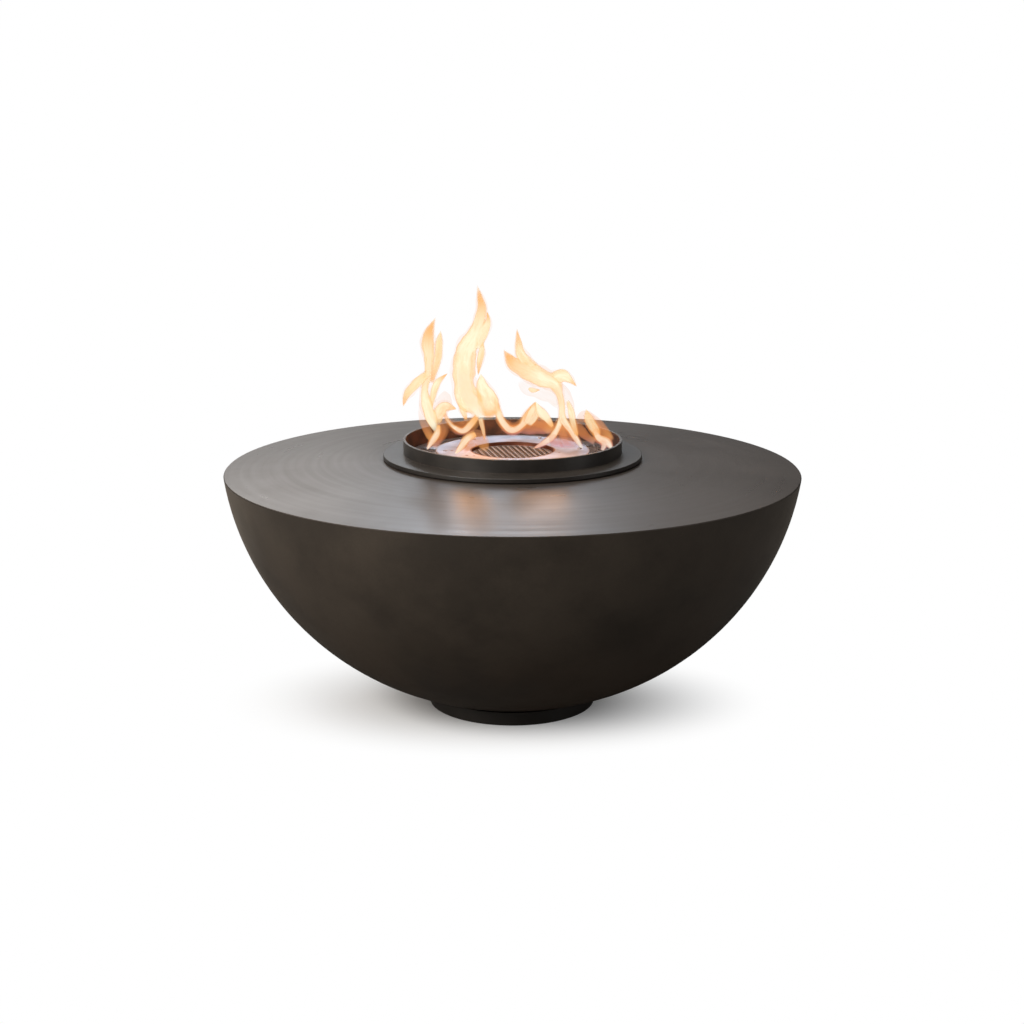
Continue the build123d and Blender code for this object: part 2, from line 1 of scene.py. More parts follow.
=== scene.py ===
"""Looks of a round fire bowl: cast concrete bowl and slab, black ring burner, steel head.

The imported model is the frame. Its rigid pieces keep their own solids and get a finish each;
the woven wires, the wool and the screws of the burner head are made here. The pieces come
in much the order in which the part builds them, then the flames, floor, light and camera.
"""

from math import cos, pi, radians, sin

import bmesh
import bpy
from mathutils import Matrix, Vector, noise


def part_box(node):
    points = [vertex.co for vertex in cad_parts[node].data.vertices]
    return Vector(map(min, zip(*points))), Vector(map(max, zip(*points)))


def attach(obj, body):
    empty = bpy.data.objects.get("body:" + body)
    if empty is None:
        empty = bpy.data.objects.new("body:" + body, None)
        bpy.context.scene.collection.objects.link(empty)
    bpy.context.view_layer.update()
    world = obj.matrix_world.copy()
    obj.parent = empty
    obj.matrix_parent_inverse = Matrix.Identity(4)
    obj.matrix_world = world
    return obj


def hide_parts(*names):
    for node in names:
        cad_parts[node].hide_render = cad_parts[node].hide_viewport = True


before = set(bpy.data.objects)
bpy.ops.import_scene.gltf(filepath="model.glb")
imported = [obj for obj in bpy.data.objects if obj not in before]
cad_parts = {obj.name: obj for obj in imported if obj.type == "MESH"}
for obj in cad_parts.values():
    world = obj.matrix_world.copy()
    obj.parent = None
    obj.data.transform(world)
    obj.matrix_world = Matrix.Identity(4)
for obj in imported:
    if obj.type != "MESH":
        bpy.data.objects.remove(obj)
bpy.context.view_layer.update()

# Bowl shell. Fibre concrete cast against a smooth mould and sealed matt, so it is cloudy,
# almost without pores, and only faintly glossy. Low down its colour is painted browner, a painted
# warm glow.


class Reading:
    """A number that a node tree works out, so that sums on it are written as sums."""

    def __init__(self, plan, socket):
        self.plan = plan
        self.socket = socket

    def maths(self, operation, first, second=0.0, third=0.0):
        sockets = {0: first, 1: second, 2: third}
        return self.plan.node("ShaderNodeMath", {"operation": operation}, sockets)

    def __add__(self, other):
        return self.maths("ADD", self, other)

    def __sub__(self, other):
        return self.maths("SUBTRACT", self, other)

    def __rsub__(self, other):
        return self.maths("SUBTRACT", other, self)

    def __mul__(self, other):
        return self.maths("MULTIPLY", self, other)

    def __truediv__(self, other):
        return self.maths("DIVIDE", self, other)

    def __pow__(self, other):
        return self.maths("POWER", self, other)

    __radd__ = __add__
    __rmul__ = __mul__

    def root(self):
        return self.maths("SQRT", self)

    def at_least(self, floor):
        return self.maths("MAXIMUM", self, floor)

    def whole(self):
        return self.maths("FLOOR", self)

    def wave(self):
        return self.maths("COSINE", self)

    def ramp(self, start, end):
        """0 up to start, 1 from end on, and a smooth rise between them; it falls if end < start."""
        rising = end > start
        sockets = {
            "Value": self,
            "From Min": min(start, end),
            "From Max": max(start, end),
            "To Min": 0.0 if rising else 1.0,
            "To Max": 1.0 if rising else 0.0,
        }
        settings = {"interpolation_type": "SMOOTHSTEP"}
        return self.plan.node("ShaderNodeMapRange", settings, sockets)


class Plan:
    """A node tree being drawn up, for a finish or for a piece that repeats."""

    def __init__(self, tree):
        self.tree = tree

    def feed(self, socket, value):
        if isinstance(value, Reading):
            self.tree.links.new(value.socket, socket)
        else:
            socket.default_value = value

    def node(self, kind, settings=None, sockets=None, out=0):
        """Adds one node: its settings first, then its sockets, by name or by number."""
        made = self.tree.nodes.new(kind)
        for name, value in (settings or {}).items():
            setattr(made, name, value)
        for name, value in (sockets or {}).items():
            self.feed(made.inputs[name], value)
        return Reading(self, made.outputs[out])

    def point(self, x, y, z):
        return self.node("ShaderNodeCombineXYZ", None, {0: x, 1: y, 2: z})


class Finish(Plan):
    """A material, mixed round its one Principled shader."""

    def __init__(self, name, constants):
        self.material = bpy.data.materials.new(name)
        self.material.use_nodes = True
        super().__init__(self.material.node_tree)
        self.shader = self.tree.nodes["Principled BSDF"]
        for socket, value in constants.items():
            self.shader.inputs[socket].default_value = value
        self.place = self.node("ShaderNodeTexCoord", out="Object")
        parts = self.tree.nodes.new("ShaderNodeSeparateXYZ")
        self.feed(parts.inputs[0], self.place)
        self.x, self.y, self.z = (Reading(self, socket) for socket in parts.outputs)

    def cloud(self, scale, detail=4.0, roughness=0.55, place=None):
        """Soft noise from 0 to 1 whose lumps are about 1 / scale metres across."""
        sockets = {
            "Vector": place or self.place,
            "Scale": scale,
            "Detail": detail,
            "Roughness": roughness,
        }
        return self.node("ShaderNodeTexNoise", None, sockets)

    def radius(self):
        return (self.x * self.x + self.y * self.y).root()

    def streaks(self, along, across, detail=3.0):
        """Noise drawn out round the axis, as a tool leaves it on a turned or trowelled face."""
        radius = self.radius().at_least(0.001)
        place = self.point(self.x / radius * along, self.y / radius * along, radius * across)
        return self.cloud(1.0, detail, 0.6, place)

    def mix(self, share, first, second, blend_type="MIX"):
        settings = {"data_type": "RGBA", "blend_type": blend_type}
        return self.node("ShaderNodeMix", settings, {0: share, 6: first, 7: second}, 2)

    def shade(self, colour, amount):
        """Darkens or lightens a colour by a number round 1."""
        grey = self.node("ShaderNodeCombineColor", None, {0: amount, 1: amount, 2: amount})
        return self.mix(1.0, colour, grey, "MULTIPLY")

    def skin(self, colour=None, roughness=None, height=None, relief=0.0001, strength=1.0):
        """Feeds the shader what changes over the surface, and hands back the material."""
        if colour is not None:
            self.feed(self.shader.inputs["Base Color"], colour)
        if roughness is not None:
            self.feed(self.shader.inputs["Roughness"], roughness)
        if height is not None:
            sockets = {"Strength": strength, "Distance": relief, "Height": height}
            bump = self.node("ShaderNodeBump", None, sockets)
            self.feed(self.shader.inputs["Normal"], bump)
        return self.material


def dress(material, *names):
    """Gives solids of the frame their finish."""
    for name in names:
        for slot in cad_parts[name].material_slots:
            slot.material = material


umber_dark = (0.0210, 0.0168, 0.0132, 1)
umber_light = (0.0400, 0.0320, 0.0250, 1)
# Warm brown of the painted glow low on the bowl.
painted_glow_brown = (0.0360, 0.0225, 0.0125, 1)
cast = Finish("sealed_concrete_bowl", {"Specular IOR Level": 0.22})
clouds = cast.cloud(5.5, 5.0, 0.6).ramp(0.32, 0.68)
colour = cast.mix(clouds, umber_dark, umber_light)
# Painted warm glow: low down, in patches, the colour turns browner.
painted_glow_mask = cast.z.ramp(0.30, 0.03) * cast.cloud(3.0, 3.0).ramp(0.35, 0.62)
colour = cast.mix(painted_glow_mask * 0.7, colour, painted_glow_brown)
grain = cast.cloud(320.0, 3.0)
colour = cast.shade(colour, 0.86 + 0.28 * grain)
hand = cast.cloud(14.0, 4.0)
roughness = 0.46 + 0.16 * hand + 0.06 * clouds
height = 0.7 * hand + 0.3 * cast.cloud(210.0, 4.0)
dress(cast.skin(colour, roughness, height, 0.0006, 0.35), "bowl_shell")

# Top slab. The same concrete, trowelled and honed in rings and sealed to a satin, so it
# mirrors a bright wall softly and drags every highlight out along the tool's path.
slab_dark = (0.0370, 0.0290, 0.0240, 1)
slab_light = (0.0640, 0.0515, 0.0435, 1)
honed = Finish("honed_concrete_slab", {"Specular IOR Level": 0.42})
clouds = honed.cloud(6.0, 5.0, 0.6).ramp(0.30, 0.70)
rings = honed.streaks(1.2, 80.0, 1.0)
colour = honed.mix(clouds * 0.45 + rings * 0.55, slab_dark, slab_light)
colour = honed.shade(colour, 0.88 + 0.24 * honed.cloud(300.0, 3.0))
roughness = 0.21 + 0.16 * rings + 0.08 * clouds
dress(honed.skin(colour, roughness, honed.cloud(9.0, 2.0), 0.0005, 0.4), "top_slab")

# Brackets, their bolts, the foot's bolts, washers and inserts, and the burner's side screws.
# All are bought steel parts with a zinc coat that has gone dull and cloudy.
zinc = Finish("dull_zinc", {"Metallic": 1.0})
patches = zinc.cloud(90.0, 3.0)
colour = zinc.mix(patches, (0.42, 0.43, 0.44, 1), (0.62, 0.63, 0.63, 1))
roughness = 0.34 + 0.2 * zinc.cloud(240.0, 2.0)
zinc.skin(colour, roughness, zinc.cloud(700.0, 2.0), 0.00004)
dress(zinc.material, "rim_brackets", "bracket_bolts", "side_screws")
dress(zinc.material, "bowl_inserts", "foot_washers", "foot_bolts")

# Foot plinth. A turned plate painted matt black-brown; handling has polished it unevenly.
plinth = Finish("matt_black_plinth", {"Specular IOR Level": 0.5})
wear = plinth.cloud(16.0, 5.0)
colour = plinth.mix(wear, (0.0090, 0.0074, 0.0060, 1), (0.0190, 0.0155, 0.0127, 1))
turning = plinth.streaks(2.0, 600.0, 2.0)
roughness = 0.38 + 0.16 * wear
dress(plinth.skin(colour, roughness, turning, 0.00008, 0.5), "foot_plinth")

# Foot pad. A moulded rubber ring, dusty where it meets the floor.
rubber = Finish("black_rubber", {"Specular IOR Level": 0.3})
dust = rubber.cloud(120.0, 4.0).ramp(0.45, 0.75)
colour = rubber.mix(dust, (0.012, 0.012, 0.012, 1), (0.045, 0.042, 0.038, 1))
dress(rubber.skin(colour, 0.7 + 0.2 * dust, dust, 0.00008), "foot_pad_ring")

# Bright stainless: the vent sleeve in the floor of the bowl, turned and left bare.
turned = Finish("turned_stainless", {"Metallic": 1.0})
turning = turned.streaks(3.0, 900.0, 2.0)
colour = turned.mix(turning, (0.50, 0.49, 0.47, 1), (0.66, 0.65, 0.63, 1))
dress(turned.skin(colour, 0.28 + 0.14 * turning, turning, 0.00004), "vent_sleeve")

# Flange gasket. Graphite-filled fibre felt, flat and grey-black, gripped under the flange.
felt = Finish("graphite_felt", {"Specular IOR Level": 0.2})
fibres = felt.cloud(420.0, 5.0, 0.7)
colour = felt.mix(fibres, (0.030, 0.029, 0.028, 1), (0.075, 0.072, 0.070, 1))
dress(felt.skin(colour, 0.8 + 0.15 * fibres, fibres, 0.0002), "flange_gasket")

# Burner surround. Flange, collar and skirt in one black casting with a heat-proof coat; the
# inside of the collar and its lip have burnt to brown scale. The flange's top is painted lighter,
# dust and a painted sheen, and the lip is painted lighter, rubbed wear and a painted highlight.
coat_dark = (0.0080, 0.0066, 0.0055, 1)
coat_light = (0.0170, 0.0140, 0.0117, 1)
# Lighter coat for the flange's top face: dust and a painted sheen.
coat_dust_and_sheen = (0.0440, 0.0355, 0.0285, 1)
# Lighter coat for the collar's lip: rubbed wear and a painted highlight.
coat_rubbed_and_highlight = (0.0900, 0.0820, 0.0760, 1)
burnt_dark = (0.0105, 0.0050, 0.0034, 1)
burnt_light = (0.0360, 0.0140, 0.0080, 1)
lip_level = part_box("burner_surround")[1][2]
collar_rise = 0.0235
flange_level = lip_level - collar_rise
collar_bore = 0.1860
black = Finish("burnt_black_coat", {"Specular IOR Level": 0.45})
wear = black.cloud(22.0, 5.0, 0.6)
sand = black.cloud(900.0, 3.0)
coat = black.mix(wear.ramp(0.3, 0.7), coat_dark, coat_light)
scale_marks = black.cloud(38.0, 6.0, 0.7).ramp(0.35, 0.65)
burnt = black.mix(scale_marks, burnt_dark, burnt_light)
inside = black.radius().ramp(collar_bore + 0.0011, collar_bore + 0.0002)
colour = black.mix(inside, coat, burnt)
# The flange's top face is painted lighter: partly dust, partly a painted sheen where light falls on
# it.
dust = black.z.ramp(flange_level - 0.0016, flange_level - 0.0008)
dust = dust * black.z.ramp(flange_level + 0.002, flange_level + 0.001) * (1 - inside)
colour = black.mix(dust * (0.35 + 0.65 * wear), colour, coat_dust_and_sheen)
# The lip is painted lighter: partly rubbed wear, partly a painted highlight along the edge.
lip_rubbed_and_highlight = black.z.ramp(lip_level - 0.0016, lip_level - 0.0004) * (0.4 + 0.6 * wear)
colour = black.mix(lip_rubbed_and_highlight, colour, coat_rubbed_and_highlight)
colour = black.shade(colour, 0.85 + 0.3 * sand)
roughness = 0.33 + 0.14 * wear + 0.2 * inside
height = 0.5 * sand + 0.5 * black.cloud(60.0, 4.0)
dress(black.skin(colour, roughness, height, 0.00018, 0.5), "burner_surround")

# Burner pan, air tube and fuel reservoir. Spun and rolled stainless that heat has tinted
# straw and brown, most of all near the top, where the fire is.
straw = (0.44, 0.37, 0.28, 1)
tinted = Finish("heat_tinted_stainless", {"Metallic": 1.0})
heat = tinted.z.ramp(0.385, 0.448) * 0.7 + 0.3 * tinted.cloud(30.0, 5.0)
colour = tinted.mix(heat, (0.52, 0.51, 0.49, 1), straw)
colour = tinted.mix(heat.ramp(0.5, 0.9), colour, (0.125, 0.060, 0.036, 1))
turning = tinted.streaks(4.0, 500.0, 2.0)
roughness = 0.3 + 0.16 * turning + 0.1 * tinted.cloud(50.0, 3.0)
tinted.skin(colour, roughness, turning, 0.00006)
dress(tinted.material, "burner_pan", "air_tube", "fuel_reservoir")

# Heat shield. Spun aluminium, pale and dull, with the spinning lines left in.
spun = Finish("spun_aluminium", {"Metallic": 1.0})
lines = spun.streaks(3.0, 420.0, 3.0)
colour = spun.mix(spun.cloud(12.0, 4.0), (0.50, 0.50, 0.51, 1), (0.66, 0.66, 0.67, 1))
dress(spun.skin(colour, 0.36 + 0.16 * lines, lines, 0.00008), "heat_shield")

# Insulation board. Pressed mineral board, buff, with darker flakes.
board = Finish("mineral_board", {"Specular IOR Level": 0.2})
flakes = board.cloud(260.0, 4.0, 0.7).ramp(0.55, 0.75)
colour = board.mix(flakes, (0.50, 0.42, 0.31, 1), (0.28, 0.22, 0.15, 1))
dress(board.skin(colour, 0.85 + 0.1 * flakes, flakes, 0.0002), "insulation_board")

# Ceramic wool. A soft white ring of spun fibre laid in the reservoir: lumpy on top, with
# rounded shoulders, and scorched in places. It stands for the plain ring of the frame.
wool_low, wool_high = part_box("wool_ring")
wool_width = 0.0985
wool_outer = wool_high[0] - 0.0006
wool_inner = wool_outer - wool_width
wool_bottom = wool_low[2] + 0.0004
wool_top = wool_high[2]
shoulder = 0.014
lump_room = 0.004
lump_height = 0.0034
lumps_per_metre = 46
straight_side = 0.02
still_height = 0.03
top_steps = 18
turns = 240


def wool_section(turn):
    """Points of the wool's outline at one place round the ring, from the inner foot up."""
    angle = 2 * pi * turn / turns
    out = Vector((cos(angle), sin(angle), 0))
    outline = [(wool_inner, wool_bottom), (wool_inner, wool_bottom + straight_side)]
    outline += [(wool_inner, wool_top - shoulder - lump_room)]
    for step in range(1, top_steps):
        share = step / top_steps
        edge = min(share, 1 - share) * (wool_outer - wool_inner)
        drop = shoulder * max(0.0, 1 - edge / shoulder) ** 2
        reach = wool_inner + share * (wool_outer - wool_inner)
        outline.append((reach, wool_top - lump_room - drop))
    outline += [(wool_outer, wool_top - shoulder - lump_room)]
    outline += [(wool_outer, wool_bottom + straight_side), (wool_outer, wool_bottom)]
    points = []
    for radius, level in outline:
        point = out * radius + Vector((0, 0, level))
        lump = noise.fractal(point * lumps_per_metre, 0.8, 2.1, 4)
        above = level - wool_bottom - still_height
        upper = max(0.0, above / (wool_top - wool_bottom - still_height))
        points.append(point + Vector((0, 0, lump_height * lump * upper)))
    return points


def put(name, data):
    """Puts an object that shows this data into the scene."""
    made = bpy.data.objects.new(name, data)
    bpy.context.scene.collection.objects.link(made)
    return made


def as_mesh(name, shape):
    """Turns a worked shape into a mesh whose faces look outward, and lets the shape go."""
    bmesh.ops.recalc_face_normals(shape, faces=shape.faces)
    mesh = bpy.data.meshes.new(name)
    shape.to_mesh(mesh)
    shape.free()
    return mesh


def ring_mesh(name, sections):
    """Joins closed outlines, in order round the axis, into one closed ring."""
    shape = bmesh.new()
    rows = [[shape.verts.new(point) for point in section] for section in sections]
    for turn, row in enumerate(rows):
        following = rows[(turn + 1) % len(rows)]
        for step in range(len(row)):
            after = (step + 1) % len(row)
            face = (row[step], following[step], following[after], row[after])
            shape.faces.new(face).smooth = True
    return put(name, as_mesh(name, shape))


fibre = Finish("ceramic_wool", {"Specular IOR Level": 0.15})
tufts = fibre.cloud(160.0, 6.0, 0.75)
strands = fibre.streaks(60.0, 900.0, 4.0)
scorch = fibre.cloud(17.0, 4.0).ramp(0.56, 0.72)
colour = fibre.mix(tufts.ramp(0.3, 0.7), (0.50, 0.48, 0.44, 1), (0.78, 0.77, 0.74, 1))
colour = fibre.mix(scorch * 0.5, colour, (0.20, 0.15, 0.10, 1))
fibre.skin(colour, 0.95, 0.6 * tufts + 0.4 * strands, 0.0016)
wool = ring_mesh("wool_blanket", [wool_section(turn) for turn in range(turns)])
wool.data.materials.append(fibre.material)
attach(wool, "burner")
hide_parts("wool_ring")

# Mesh ring and grate mesh. Plain weave of heat-browned stainless wire: each wire passes over
# and under its neighbours. The ring is held under the windows, the round one in the grate.


def named_inputs(plan):
    """The inputs of a tree, by name."""
    entry = plan.tree.nodes.new("NodeGroupInput")
    return {socket.name: Reading(plan, socket) for socket in entry.outputs if socket.name}


weave = bpy.data.node_groups.new("plain_weave", "GeometryNodeTree")
weave_inputs = ("Inner Radius", "Outer Radius", "Pitch", "Wire Radius", "Cross Radius")
for label in weave_inputs + ("Height", "Turn"):
    weave.interface.new_socket(label, in_out="INPUT", socket_type="NodeSocketFloat")
for label in ("Bends", "Sides"):
    weave.interface.new_socket(label, in_out="INPUT", socket_type="NodeSocketInt")
weave.interface.new_socket("Finish", in_out="INPUT", socket_type="NodeSocketMaterial")
weave.interface.new_socket("Cloth", in_out="OUTPUT", socket_type="NodeSocketGeometry")
loom = Plan(weave)
size = named_inputs(loom)

# Two half wires for each line of the weave, so that a ring's hole stays free of wire
side_count = (size["Outer Radius"] / size["Pitch"]).whole()
start = {"Count": side_count * 2 + 1, "Offset": (0, 0, 0)}
wires = loom.node("GeometryNodeMeshLine", {"mode": "OFFSET"}, start)
index = loom.node("GeometryNodeInputIndex")
named = {"Geometry": wires, "Name": "line", "Value": index - side_count}
floats = {"data_type": "FLOAT", "domain": "POINT"}
wires = loom.node("GeometryNodeStoreNamedAttribute", floats, named)
pair = weave.nodes.new("GeometryNodeDuplicateElements")
pair.domain = "POINT"
loom.feed(pair.inputs["Geometry"], wires)
pair.inputs["Amount"].default_value = 2
half = Reading(loom, pair.outputs["Duplicate Index"])
named = {"Geometry": Reading(loom, pair.outputs["Geometry"]), "Name": "side", "Value": half * 2 - 1}
wires = loom.node("GeometryNodeStoreNamedAttribute", floats, named)

straight = loom.node("GeometryNodeCurvePrimitiveLine")
straight = loom.node("GeometryNodeResampleCurve", None, {"Curve": straight, "Count": size["Bends"]})
wires = loom.node("GeometryNodeInstanceOnPoints", None, {"Points": wires, "Instance": straight})
wires = loom.node("GeometryNodeRealizeInstances", None, {"Geometry": wires})

line = loom.node("GeometryNodeInputNamedAttribute", {"data_type": "FLOAT"}, {"Name": "line"})
side = loom.node("GeometryNodeInputNamedAttribute", {"data_type": "FLOAT"}, {"Name": "side"})
share = loom.node("GeometryNodeSplineParameter", out="Factor")
y = line * size["Pitch"]
first = (size["Inner Radius"] ** 2 - y * y).at_least(0.0).root()
last = (size["Outer Radius"] ** 2 - y * y).at_least(0.0).root()
x = side * (first + (last - first) * share)
z = size["Wire Radius"] * (pi * (x / size["Pitch"] + line)).wave()
moved = {"Geometry": wires, "Position": loom.point(x, y, z)}
bent = loom.node("GeometryNodeSetPosition", None, moved)
drawn = []
for thickness in ("Wire Radius", "Cross Radius"):
    round_wire = {"Resolution": size["Sides"], "Radius": size[thickness]}
    section = loom.node("GeometryNodeCurvePrimitiveCircle", None, round_wire)
    path = {"Curve": bent, "Profile Curve": section, "Fill Caps": True}
    drawn.append(loom.node("GeometryNodeCurveToMesh", None, path))
warp, cross_wires = drawn
across = {"Geometry": cross_wires, "Rotation": (pi, 0, pi / 2)}
weft = loom.node("GeometryNodeTransform", None, across)
join = weave.nodes.new("GeometryNodeJoinGeometry")
for layer in (warp, weft):
    weave.links.new(layer.socket, join.inputs[0])
place = {
    "Geometry": Reading(loom, join.outputs[0]),
    "Translation": loom.point(0.0, 0.0, size["Height"]),
    "Rotation": loom.point(0.0, 0.0, size["Turn"]),
}
cloth = loom.node("GeometryNodeTransform", None, place)
cloth = loom.node("GeometryNodeSetShadeSmooth", None, {"Geometry": cloth})
cloth = loom.node("GeometryNodeRealizeInstances", None, {"Geometry": cloth})
cloth = loom.node("GeometryNodeSetMaterial", None, {"Geometry": cloth, "Material": size["Finish"]})
weave.links.new(cloth.socket, weave.nodes.new("NodeGroupOutput").inputs[0])


def grown(name, tree, sizes):
    """Runs a tree with its sizes once and keeps what it makes as a plain mesh."""
    piece = put(name, bpy.data.meshes.new(name))
    modifier = piece.modifiers.new(name, "NODES")
    modifier.node_group = tree
    for item in tree.interface.items_tree:
        if item.in_out == "INPUT" and item.name in sizes:
            modifier[item.identifier] = sizes[item.name]
    ready = piece.evaluated_get(bpy.context.evaluated_depsgraph_get())
    plain = bpy.data.meshes.new_from_object(ready)
    piece.modifiers.remove(modifier)
    piece.data = plain
    return piece


wire = Finish("browned_wire", {"Metallic": 1.0})
tint = wire.cloud(55.0, 4.0)
colour = wire.mix(tint, (0.22, 0.150, 0.125, 1), (0.44, 0.37, 0.35, 1))
wire.skin(colour, 0.4 + 0.15 * tint, wire.cloud(900.0, 2.0), 0.00004)
ring_sizes = {
    "Inner Radius": 0.1295,
    "Outer Radius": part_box("mesh_ring")[1][0] - 0.0004,
    "Pitch": 0.0063,
    "Wire Radius": 0.0005,
    "Cross Radius": 0.0005,
    "Height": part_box("mesh_ring")[1][2] - 0.0010,
    "Turn": 0.0,
    "Bends": 84,
    "Sides": 5,
    "Finish": wire.material,
}
ring_cloth = grown("window_wires", weave, ring_sizes)
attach(ring_cloth, "burner_head")
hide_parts("mesh_ring")

grate_sizes = dict(ring_sizes)
grate_sizes["Inner Radius"] = 0.0
grate_sizes["Sides"] = 8
grate_sizes["Outer Radius"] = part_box("grate_mesh")[1][0] - 0.0002
grate_sizes["Pitch"] = 0.0068
grate_sizes["Wire Radius"] = 0.0011
grate_sizes["Cross Radius"] = 0.0006
grate_sizes["Height"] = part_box("grate_mesh")[0][2] + 0.0022
grate_sizes["Turn"] = radians(58)
grate_cloth = grown("grate_wires", weave, grate_sizes)
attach(grate_cloth, "grate")
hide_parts("grate_mesh")

# Window plate, posts and grate frame. Laser-cut and turned stainless, brushed, with brown
# heat stains that gather round the windows.
brushed = Finish("stained_stainless", {"Metallic": 1.0})
stain = brushed.cloud(28.0, 6.0, 0.65).ramp(0.42, 0.72)
colour = brushed.mix(stain, (0.50, 0.49, 0.52, 1), (0.27, 0.17, 0.115, 1))
lines = brushed.streaks(3.0, 700.0, 2.0)
brushed.skin(colour, 0.34 + 0.14 * lines + 0.1 * stain, lines, 0.00005)
dress(brushed.material, "window_plate", "disc_posts", "grate_frame")

# Baffle disc. Pressed stainless, blued pale lilac by the fire, dusty and a little rusty in
# spots; its drawn opening and rolled rim are browner.
lilac_dark = (0.36, 0.35, 0.41, 1)
lilac_light = (0.54, 0.53, 0.61, 1)
rim_brown = (0.36, 0.22, 0.16, 1)
rust = (0.26, 0.085, 0.035, 1)
opening_brown = (0.20, 0.075, 0.045, 1)
disc_opening = 0.0730
disc_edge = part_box("baffle_disc")[1][0]
rust_spots = (
    (0.126, 137, 0.0035),
    (0.106, -175, 0.0045),
    (0.093, -148, 0.0040),
    (0.085, -141, 0.0032),
    (0.071, -79, 0.0036),
    (0.084, -16, 0.0030),
)
blued = Finish("blued_disc", {"Metallic": 1.0})
dusty = blued.cloud(26.0, 5.0, 0.6)
colour = blued.mix(dusty.ramp(0.3, 0.7), lilac_dark, lilac_light)
from_axis = blued.radius()
rims = from_axis.ramp(disc_opening + 0.0035, disc_opening - 0.0005)
rims = rims + from_axis.ramp(disc_edge - 0.0045, disc_edge)
colour = blued.mix(rims * dusty.ramp(0.2, 0.6), colour, rim_brown)
wall = from_axis.ramp(disc_opening + 0.0012, disc_opening + 0.0002)
colour = blued.mix(wall, colour, opening_brown)
spread = blued.cloud(300.0, 4.0, 0.7)
spots = 0.0
for reach, angle, width in rust_spots:
    beside = blued.x - reach * cos(radians(angle))
    behind = blued.y - reach * sin(radians(angle))
    distance = (beside * beside + behind * behind).root() + 0.006 * (spread - 0.5)
    spots = spots + distance.ramp(width, width * 0.3)
colour = blued.mix(spots * 0.85, colour, rust)
roughness = 0.42 + 0.16 * dusty + 0.3 * spots
dress(blued.skin(colour, roughness, spread, 0.00006), "baffle_disc")

# Screws of the burner head. Six domed stainless screws with a six-sided socket, through the
# disc and its posts into the window plate.
screw_low, screw_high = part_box("disc_screws")
screw_circle = 0.118
screw_start = 6
screw_count = 6
head_radius = 0.0038
seat = screw_high[2] - 0.0016
shank_radius = 0.0020
screw_outline = (
    (shank_radius, screw_low[2] - seat, 0),
    (shank_radius, 0.0, 0),
    (head_radius, 0.0, 0),
    (head_radius, 0.0005, 0),
    (head_radius * 0.93, 0.0010, 0),
    (head_radius * 0.78, 0.0014, 0),
    (head_radius * 0.56, 0.0016, 0),
    (head_radius * 0.50, 0.0015, 1),
    (head_radius * 0.46, 0.0006, 1),
)
screw_sides = 24


def join_rows(shape, rows, smooth):
    """Joins neighbouring rows of points, each closed on itself, with four-sided faces."""
    for lower, upper in zip(rows, rows[1:]):
        for number in range(len(lower)):
            after = (number + 1) % len(lower)
            face = (lower[number], lower[after], upper[after], upper[number])
            shape.faces.new(face).smooth = smooth


shape = bmesh.new()
rings_of_screw = []
for reach, level, six_sided in screw_outline:
    ring = []
    for side_number in range(screw_sides):
        angle = 2 * pi * side_number / screw_sides
        flat = cos((angle + pi / 6) % (pi / 3) - pi / 6) if six_sided else 1.0
        ring.append(shape.verts.new((reach / flat * cos(angle), reach / flat * sin(angle), level)))
    rings_of_screw.append(ring)
join_rows(shape, rings_of_screw, False)
shape.faces.new(reversed(rings_of_screw[0]))
shape.faces.new(rings_of_screw[-1])
sample_screw = put("socket_screw", as_mesh("socket_screw", shape))

circle = bpy.data.node_groups.new("screw_circle", "GeometryNodeTree")
for label in ("Circle Radius", "Start", "Seat"):
    circle.interface.new_socket(label, in_out="INPUT", socket_type="NodeSocketFloat")
circle.interface.new_socket("Screws", in_out="INPUT", socket_type="NodeSocketInt")
circle.interface.new_socket("Screw", in_out="INPUT", socket_type="NodeSocketObject")
circle.interface.new_socket("Finish", in_out="INPUT", socket_type="NodeSocketMaterial")
circle.interface.new_socket("Fitted", in_out="OUTPUT", socket_type="NodeSocketGeometry")
jig = Plan(circle)
size = named_inputs(jig)
holes = {"Vertices": size["Screws"], "Radius": size["Circle Radius"]}
points = jig.node("GeometryNodeMeshCircle", None, holes)
screw = jig.node("GeometryNodeObjectInfo", None, {"Object": size["Screw"]}, "Geometry")
turn_each = {"Min": (0, 0, 0), "Max": (0, 0, 2 * pi), "Seed": 5}
turn_each = jig.node("FunctionNodeRandomValue", {"data_type": "FLOAT_VECTOR"}, turn_each)
fitted = {"Points": points, "Instance": screw, "Rotation": turn_each}
fitted = jig.node("GeometryNodeInstanceOnPoints", None, fitted)
moved = {
    "Geometry": fitted,
    "Translation": jig.point(0.0, 0.0, size["Seat"]),
    "Rotation": jig.point(0.0, 0.0, size["Start"]),
}
fitted = jig.node("GeometryNodeTransform", None, moved)
fitted = jig.node("GeometryNodeRealizeInstances", None, {"Geometry": fitted})
fitted = jig.node("GeometryNodeSetMaterial", None, {"Geometry": fitted, "Material": size["Finish"]})
circle.links.new(fitted.socket, circle.nodes.new("NodeGroupOutput").inputs[0])

tarnish = Finish("tarnished_screw", {"Metallic": 1.0})
patches = tarnish.cloud(160.0, 4.0)
colour = tarnish.mix(patches, (0.30, 0.20, 0.15, 1), (0.52, 0.50, 0.55, 1))
tarnish.skin(colour, 0.35 + 0.2 * patches, patches, 0.00005)
screw_sizes = {
    "Circle Radius": screw_circle,
    "Start": radians(screw_start),
    "Seat": seat,
    "Screws": screw_count,
    "Screw": sample_screw,
    "Finish": tarnish.material,
}
head_screws = grown("head_screws", circle, screw_sizes)
bpy.data.objects.remove(sample_screw)
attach(head_screws, "burner_head")
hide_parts("disc_screws")
